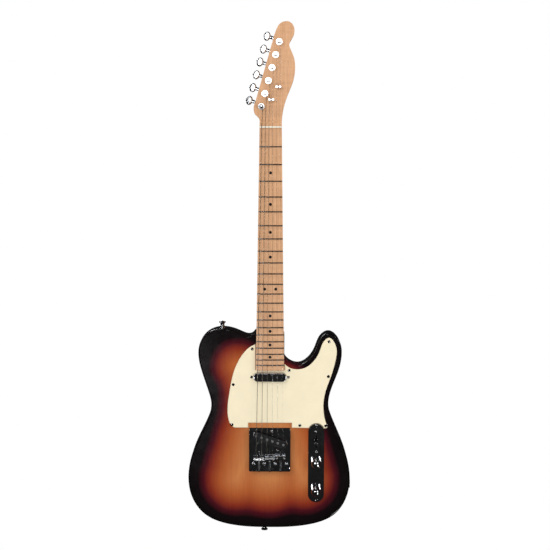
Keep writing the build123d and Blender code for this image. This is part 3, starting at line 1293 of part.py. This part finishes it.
with BuildPart() as hookup_wires:
    for route_points in WIRE_ROUTES:
        corners = [(x, y, height - SCALE) for x, y, height in route_points]
        with BuildLine() as wire_run:
            FilletPolyline(*corners, radius=WIRE_BEND)
        with BuildSketch(Plane(origin=corners[0], z_dir=Vector(*corners[1]) - Vector(*corners[0]))):
            Circle(WIRE_RADIUS)
        sweep(path=wire_run.wires()[0])
hookup_wires.part.label = "hookup_wires"
export_step(hookup_wires.part, "parts/hookup_wires.step")
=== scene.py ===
import math

import bpy
from mathutils import Matrix, Vector


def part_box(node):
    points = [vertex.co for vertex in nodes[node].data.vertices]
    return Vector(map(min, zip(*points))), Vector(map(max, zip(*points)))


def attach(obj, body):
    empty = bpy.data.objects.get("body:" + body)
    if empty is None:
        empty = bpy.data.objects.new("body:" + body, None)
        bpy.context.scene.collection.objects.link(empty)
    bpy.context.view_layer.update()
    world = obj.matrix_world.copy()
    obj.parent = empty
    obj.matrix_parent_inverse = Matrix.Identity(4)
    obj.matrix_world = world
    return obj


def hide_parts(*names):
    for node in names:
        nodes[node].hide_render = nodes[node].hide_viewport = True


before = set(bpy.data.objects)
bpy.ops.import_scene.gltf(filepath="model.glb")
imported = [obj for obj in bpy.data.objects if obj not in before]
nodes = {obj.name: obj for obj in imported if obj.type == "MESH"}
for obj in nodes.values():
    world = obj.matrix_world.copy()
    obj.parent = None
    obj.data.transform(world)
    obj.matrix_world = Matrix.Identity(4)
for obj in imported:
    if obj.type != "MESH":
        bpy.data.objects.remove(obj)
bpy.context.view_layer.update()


# ---- node trees
class Tree:
    """A material's node tree with short ways to add and join nodes."""

    def __init__(self, name):
        self.material = bpy.data.materials.new(name)
        self.material.use_nodes = True
        self.nodes = self.material.node_tree.nodes
        self.links = self.material.node_tree.links
        self.shader = self.nodes["Principled BSDF"]
        self.place = self.add("ShaderNodeTexCoord").outputs["Object"]

    def add(self, kind, inputs=(), **settings):
        node = self.nodes.new(kind)
        for key, value in settings.items():
            setattr(node, key, value)
        for key, value in dict(inputs).items():
            if isinstance(value, bpy.types.NodeSocket):
                self.links.new(value, node.inputs[key])
            else:
                node.inputs[key].default_value = value
        return node

    def math(self, operation, a, b=0.0, c=0.0):
        return self.add("ShaderNodeMath", {0: a, 1: b, 2: c}, operation=operation).outputs[0]

    def stretched(self, x, y, z):
        return self.add("ShaderNodeMapping", {"Vector": self.place, "Scale": (x, y, z)}).outputs[0]

    def noise(self, vector, scale, detail=3.0, roughness=0.5, distortion=0.0):
        inputs = {"Vector": vector, "Scale": scale, "Detail": detail, "Roughness": roughness, "Distortion": distortion}
        return self.add("ShaderNodeTexNoise", inputs).outputs[0]

    def ramp(self, factor, stops):
        node = self.add("ShaderNodeValToRGB", {"Fac": factor})
        elements = node.color_ramp.elements
        while len(elements) < len(stops):
            elements.new(0.5)
        for element, (position, colour) in zip(elements, stops):
            element.position = position
            element.color = (*colour, 1) if isinstance(colour, tuple) else (colour, colour, colour, 1)
        return node.outputs[0]

    def mix(self, factor, a, b, blend="MIX"):
        node = self.add("ShaderNodeMix", data_type="RGBA", blend_type=blend)
        for socket, value in ((0, factor), (6, a), (7, b)):
            if isinstance(value, bpy.types.NodeSocket):
                self.links.new(value, node.inputs[socket])
            else:
                node.inputs[socket].default_value = (*value, 1) if isinstance(value, tuple) else value
        return node.outputs[2]

    def set(self, **values):
        for key, value in values.items():
            socket = self.shader.inputs[key.replace("_", " ")]
            if isinstance(value, bpy.types.NodeSocket):
                self.links.new(value, socket)
            else:
                socket.default_value = (*value, 1) if isinstance(value, tuple) else value

    def bump(self, height, strength, distance):
        node = self.add("ShaderNodeBump", {"Height": height, "Strength": strength, "Distance": distance})
        self.set(Normal=node.outputs[0])

    def separate(self):
        return self.add("ShaderNodeSeparateXYZ", {"Vector": self.place}).outputs


def worn(tree, low, high, scale=160.0):
    """Roughness that wanders between two values, as handling leaves it."""
    spread = tree.add("ShaderNodeMapRange", {0: tree.noise(tree.place, scale, 4.0), 1: 0.3, 2: 0.7, 3: low, 4: high})
    tree.set(Roughness=spread.outputs[0])


# ---- body lacquer: a dark edge that turns through red to amber, by distance from the outline
# The outline's inside is the union of these tapered bars, from disc to disc: (x, height above the saddle line,
# radius) in mm.
WAIST, BASS_BOUT, TREBLE_BOUT, SHOULDER = (0, 100, 117), (-66, -50, 95), (66, -50, 93), (-62, 178, 76)
HORN_TIP, HORN_MIDDLE, HORN_FOOT = (117, 212, 29), (92, 158, 37), (48, 108, 68)
BODY_BARS = (
    (WAIST, BASS_BOUT), (WAIST, TREBLE_BOUT), (WAIST, SHOULDER), (WAIST, (0, -30, 120)), (HORN_TIP, HORN_MIDDLE),
    (HORN_MIDDLE, HORN_FOOT),
)
SADDLE_LINE = -0.648


def lacquer():
    tree = Tree("sunburst lacquer")
    x, y, z = tree.separate()
    inside = None
    for start, end in BODY_BARS:
        ax, az, first = start[0] / 1000, start[1] / 1000 + SADDLE_LINE, start[2] / 1000
        bx, bz, last = end[0] / 1000, end[1] / 1000 + SADDLE_LINE, end[2] / 1000
        square = (bx - ax) ** 2 + (bz - az) ** 2
        dx, dz = tree.math("SUBTRACT", x, ax), tree.math("SUBTRACT", z, az)
        across = tree.math("MULTIPLY", dz, (bz - az) / square)
        along = tree.math("MAXIMUM", tree.math("MULTIPLY_ADD", dx, (bx - ax) / square, across), 0.0)
        along = tree.math("MINIMUM", along, 1.0)
        qx = tree.math("MULTIPLY_ADD", along, ax - bx, dx)
        qz = tree.math("MULTIPLY_ADD", along, az - bz, dz)
        away = tree.math("SQRT", tree.math("MULTIPLY_ADD", qx, qx, tree.math("MULTIPLY", qz, qz)))
        depth = tree.math("SUBTRACT", tree.math("MULTIPLY_ADD", along, last - first, first), away)
        inside = depth if inside is None else tree.math("SMOOTH_MAX", inside, depth, 0.016)
    wander = tree.math("MULTIPLY", tree.math("SUBTRACT", tree.noise(tree.place, 14.0, 2.0), 0.5), 0.008)
    edge = tree.math("DIVIDE", tree.math("ADD", inside, wander), 0.125)
    burst = tree.ramp(edge, (
        (0.0, (0.0035, 0.0025, 0.0025)), (0.13, (0.006, 0.003, 0.004)), (0.22, (0.065, 0.005, 0.010)),
        (0.32, (0.230, 0.027, 0.012)), (0.50, (0.420, 0.100, 0.026)), (0.82, (0.600, 0.225, 0.075)),
    ))
    grain = tree.noise(tree.stretched(34, 34, 2.2), 9.0, 6.0, 0.6, 0.6)
    pores = tree.noise(tree.stretched(900, 900, 30), 1.0, 2.0)
    shade = tree.ramp(grain, ((0.30, 0.93), (0.70, 1.05)))
    fine = tree.ramp(pores, ((0.35, 0.94), (0.60, 1.0)))
    colour = tree.mix(1.0, tree.mix(1.0, burst, shade, "MULTIPLY"), fine, "MULTIPLY")
    tree.set(Base_Color=colour, Specular_IOR_Level=0.15, Coat_Weight=1.0, Coat_Roughness=0.03)
    worn(tree, 0.12, 0.22, 60.0)
    tree.bump(tree.noise(tree.place, 220.0, 2.0), 0.05, 0.0002)
    return tree.material


def maple(name="amber maple", light=(0.76, 0.43, 0.23), dark=(0.62, 0.33, 0.165)):
    tree = Tree(name)
    rings = tree.noise(tree.stretched(60, 60, 2.0), 6.0, 5.0, 0.55, 0.8)
    fleck = tree.noise(tree.stretched(1400, 1400, 60), 1.0, 2.0)
    flame = tree.noise(tree.stretched(10, 10, 75), 2.5, 3.0, 0.5, 0.4)
    colour = tree.mix(tree.ramp(rings, ((0.32, 0.0), (0.68, 1.0))), dark, light)
    colour = tree.mix(0.5, colour, tree.ramp(flame, ((0.3, 0.82), (0.7, 1.1))), "MULTIPLY")
    colour = tree.mix(1.0, colour, tree.ramp(fleck, ((0.34, 0.86), (0.5, 1.0))), "MULTIPLY")
    tree.set(Base_Color=colour, Coat_Weight=0.35, Coat_Roughness=0.2)
    worn(tree, 0.34, 0.5)
    tree.bump(fleck, 0.08, 0.0002)
    return tree.material


def chrome(name="polished chrome", tint=(0.86, 0.87, 0.90), low=0.035, high=0.11):
    tree = Tree(name)
    haze = tree.noise(tree.place, 420.0, 5.0, 0.6)
    hair = tree.noise(tree.stretched(60, 3000, 4200), 1.0, 2.0)
    tree.set(
        Base_Color=tree.mix(tree.ramp(haze, ((0.45, 0.0), (0.75, 1.0))), tint, tuple(0.86 * part for part in tint)),
        Metallic=1.0,
    )
    worn(tree, low, high, 300.0)
    tree.bump(tree.ramp(hair, ((0.62, 0.0), (0.70, 1.0))), 0.05, 0.00004)
    return tree.material


def steel(name, tint, low, high):
    """Plated steel or wire: duller than the chrome, with darker spots."""
    tree = Tree(name)
    spots = tree.ramp(tree.noise(tree.place, 900.0, 6.0, 0.65), ((0.42, 1.0), (0.66, 0.72)))
    tree.set(Base_Color=tree.mix(1.0, tint, spots, "MULTIPLY"), Metallic=1.0)
    worn(tree, low, high, 700.0)
    tree.bump(tree.noise(tree.place, 2600.0, 3.0), 0.06, 0.00005)
    return tree.material


def plastic(name, tint, low, high, mottle=0.06, coat=0.0):
    tree = Tree(name)
    cloud = tree.noise(tree.place, 38.0, 5.0, 0.6)
    speck = tree.noise(tree.place, 1500.0, 2.0)
    paler = tuple(min(1.0, part * (1 + mottle)) for part in tint)
    darker = tuple(part * (1 - mottle) for part in tint)
    colour = tree.mix(tree.ramp(cloud, ((0.35, 0.0), (0.65, 1.0))), darker, paler)
    colour = tree.mix(1.0, colour, tree.ramp(speck, ((0.25, 0.9), (0.36, 1.0))), "MULTIPLY")
    tree.set(Base_Color=colour, Coat_Weight=coat, Coat_Roughness=0.08)
    worn(tree, low, high, 240.0)
    tree.bump(speck, 0.04, 0.0001)
    return tree.material


def wound(name, tint, pitch, axis):
    """Metal with round-wound turns across one axis of the frame, with painted shade darkening the colour in the
    grooves between turns.
    """
    tree = Tree(name)
    along = tree.separate()[axis]
    turns = tree.math("SINE", tree.math("MULTIPLY", along, 2 * math.pi / pitch))
    # painted shade: the base colour falls to 0.35 in the grooves between turns; the bump below gives the real relief
    groove_painted_shade = tree.ramp(tree.math("MULTIPLY_ADD", turns, 0.5, 0.5), ((0.05, 0.35), (0.5, 1.0)))
    tree.set(Base_Color=tree.mix(1.0, tint, groove_painted_shade, "MULTIPLY"), Metallic=1.0)
    worn(tree, 0.22, 0.38, 900.0)
    tree.bump(turns, 0.5, 0.0002)
    return tree.material


LOOKS = {
    "sunburst": lacquer(),
    "maple": maple(),
    "walnut": maple("dark walnut", (0.090, 0.036, 0.018), (0.040, 0.016, 0.009)),
    "chrome": chrome(),
    "steel": steel("zinc-plated steel", (0.60, 0.60, 0.60), 0.22, 0.42),
    "frets": steel("nickel silver", (0.46, 0.43, 0.40), 0.16, 0.30),
    "magnet": steel("alnico", (0.42, 0.42, 0.43), 0.25, 0.45),
    "black": plastic("black plastic", (0.010, 0.010, 0.011), 0.18, 0.30, coat=0.3),
    "bone": plastic("moulded nut", (0.80, 0.75, 0.62), 0.25, 0.38),
    "cream": plastic("cream laminate", (0.90, 0.80, 0.57), 0.30, 0.42, 0.02, 0.1),
    "ceramic": plastic("dipped ceramic", (0.58, 0.20, 0.03), 0.20, 0.32, coat=0.5),
    "cloth": plastic("cloth-covered wire", (0.62, 0.58, 0.46), 0.7, 0.9, 0.12),
    "copper": wound("enamelled winding", (0.50, 0.17, 0.07), 0.0009, 1),
    "wound": wound("round-wound string", (0.55, 0.52, 0.46), 0.0008, 2),
    "plain": steel("plain string steel", (0.62, 0.62, 0.62), 0.14, 0.24),
}
WEARS = {
    "sunburst": ["body"],
    "maple": ["neck"],
    "walnut": ["skunk_stripe"],
    "steel": ["truss_rod", "potentiometers", "pot_nuts", "selector_switch", "saddle_height_screws", "output_jack"],
    "frets": ["fret_wires"],
    "magnet": ["neck_pickup_magnets", "bridge_pickup_magnets"],
    "black": ["position_dots", "switch_tip", "neck_pickup_bobbin", "bridge_pickup_bobbin"],
    "bone": ["nut"],
    "cream": ["pickguard"],
    "ceramic": ["tone_capacitor"],
    "cloth": ["hookup_wires"],
    "copper": ["neck_pickup_coil", "bridge_pickup_coil"],
    "wound": ["bass_strings"],
    "plain": ["treble_strings"],
}
dressed = {node: look for look, names in WEARS.items() for node in names}
for name, node in nodes.items():
    node.data.materials.clear()
    node.data.materials.append(LOOKS[dressed.get(name, "chrome")])


# ---- springs in place of their sleeves
def helix(name, bottom, top, radius, wire, turns):
    """A compression spring with closed ends, between two points."""
    steps = 16
    ends = 1.5
    total = turns + 2 * ends
    curve = bpy.data.curves.new(name, "CURVE")
    curve.dimensions = "3D"
    curve.bevel_depth = wire
    curve.bevel_resolution = 3
    curve.use_fill_caps = True
    line = curve.splines.new("POLY")
    count = int(total * steps) + 1
    line.points.add(count - 1)
    length = (top - bottom).length - 2 * wire
    closed = 2 * wire * ends
    for index in range(count):
        turn = index / steps
        if turn < ends:
            along = 2 * wire * turn
        elif turn > total - ends:
            along = length - 2 * wire * (total - turn)
        else:
            along = closed + (turn - ends) / turns * (length - 2 * closed)
        angle = 2 * math.pi * turn
        line.points[index].co = (radius * math.cos(angle), radius * math.sin(angle), along + wire, 1)
    spring = bpy.data.objects.new(name, curve)
    bpy.context.scene.collection.objects.link(spring)
    spring.matrix_world = Matrix.Translation(bottom) @ (top - bottom).to_track_quat("Z", "Y").to_matrix().to_4x4()
    spring.data.materials.append(LOOKS["steel"])
    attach(spring, "guitar")
    return spring


PICKUP_SPRINGS = ((4.3, 46.4), (-24.6, 22.6), (15.6, 9.0), (-36.6, 157.0), (36.6, 157.0))
front_y, back_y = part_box("pickup_springs")[0].y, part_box("pickup_springs")[1].y
for index, (x, height) in enumerate(PICKUP_SPRINGS):
    place = Vector((x / 1000, 0, height / 1000 + SADDLE_LINE))
    spring = helix(
        f"pickup_spring_{index + 1}", place + Vector((0, front_y, 0)), place + Vector((0, back_y, 0)), 0.0021, 0.00035, 3
    )
    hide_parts("pickup_springs")

low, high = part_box("intonation_springs")
depth = (low.y + high.y) / 2
for index, (x, end) in enumerate(((-21.6, -12.25), (0.0, -11.15), (21.6, -9.45))):
    spring = helix(
        f"intonation_spring_{index + 1}", Vector((x / 1000, depth, low.z)), Vector((x / 1000, depth, end / 1000 + SADDLE_LINE)),
        0.0019, 0.00032, 7,
    )
    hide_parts("intonation_springs")

# ---- soft edges on the hard parts
for name in ("nut", "switch_tip", "bridge_plate", "control_plate", "neck_plate"):
    bevel = nodes[name].modifiers.new("edges", "BEVEL")
    bevel.width = 0.00015
    bevel.segments = 2
    bevel.limit_method = "ANGLE"
    bevel.angle_limit = math.radians(40)


# ---- studio
def panel(name, place, aim, width, height, power, mirrored=True):
    light = bpy.data.objects.new(name, bpy.data.lights.new(name, "AREA"))
    light.data.shape = "RECTANGLE"
    light.data.size, light.data.size_y = width, height
    light.data.energy = power
    light.location = place
    light.rotation_euler = (Vector(aim) - Vector(place)).to_track_quat("-Z", "Y").to_euler()
    light.visible_camera = False
    light.visible_glossy = mirrored
    bpy.context.scene.collection.objects.link(light)


CENTRE = (0, 0, -0.35)
panel("key", (-1.3, -1.7, 0.9), CENTRE, 0.7, 1.3, 17, mirrored=False)
panel("fill", (1.6, -1.6, -0.1), CENTRE, 0.6, 1.5, 9, mirrored=False)
panel("top", (0.2, -0.3, 1.6), CENTRE, 1.2, 0.5, 7, mirrored=False)
panel("back_left", (-1.3, 1.8, 0.7), CENTRE, 0.9, 1.3, 18, mirrored=False)
panel("back_right", (1.5, 1.6, -0.1), CENTRE, 0.8, 1.3, 12, mirrored=False)
# strips and lamps that show as highlights
panel("rim_left", (-2.0, -0.5, 0.6), CENTRE, 0.10, 1.6, 5)
panel("rim_right", (2.0, -0.6, 0.5), CENTRE, 0.08, 1.2, 3)
panel("lamp_left", (-0.50, -2.0, -0.90), CENTRE, 0.28, 0.28, 3)
panel("lamp_right", (0.66, -2.0, -0.90), CENTRE, 0.28, 0.28, 3)
panel("lamp_low", (0.80, -1.5, -2.0), CENTRE, 0.26, 0.26, 2)
panel("lamp_high", (-0.5, -1.6, 1.3), CENTRE, 0.45, 0.30, 3)
panel("lamp_posts", (-0.02, -2.1, 0.38), (0, 0, 0.1), 0.14, 0.34, 0.6)
panel("lamp_back", (-0.7, 2.0, 0.5), CENTRE, 0.35, 0.80, 5)

world = bpy.data.worlds.new("white studio")
bpy.context.scene.world = world
world.use_nodes = True
lit = world.node_tree
lit.nodes.clear()
seen = lit.nodes.new("ShaderNodeBackground")
seen.inputs["Color"].default_value = (1, 1, 1, 1)
seen.inputs["Strength"].default_value = 1.0
felt = lit.nodes.new("ShaderNodeBackground")
felt.inputs["Color"].default_value = (1, 1, 1, 1)
felt.inputs["Strength"].default_value = 0.54
mirrored = lit.nodes.new("ShaderNodeBackground")
mirrored.inputs["Color"].default_value = (1, 1, 1, 1)
mirrored.inputs["Strength"].default_value = 0.010
path = lit.nodes.new("ShaderNodeLightPath")
glossy = lit.nodes.new("ShaderNodeMixShader")
chosen = lit.nodes.new("ShaderNodeMixShader")
out = lit.nodes.new("ShaderNodeOutputWorld")
lit.links.new(path.outputs["Is Glossy Ray"], glossy.inputs[0])
lit.links.new(felt.outputs[0], glossy.inputs[1])
lit.links.new(mirrored.outputs[0], glossy.inputs[2])
lit.links.new(path.outputs["Is Camera Ray"], chosen.inputs[0])
lit.links.new(glossy.outputs[0], chosen.inputs[1])
lit.links.new(seen.outputs[0], chosen.inputs[2])
lit.links.new(chosen.outputs[0], out.inputs[0])

bpy.context.scene.view_settings.view_transform = "Standard"

# ---- camera: level with the neck's foot, aimed a little down the body
camera = bpy.data.objects.new("camera", bpy.data.cameras.new("camera"))
bpy.context.scene.collection.objects.link(camera)
camera.data.sensor_width = 36
camera.data.lens = 66.7
camera.location = (0.00934, -1.9933, -0.1099)
camera.rotation_euler = (math.radians(90 - 5.06), 0, 0)
camera.rotation_euler = (camera.rotation_euler.to_matrix() @ Matrix.Rotation(0.0034, 3, "Z")).to_euler()
bpy.context.scene.camera = camera
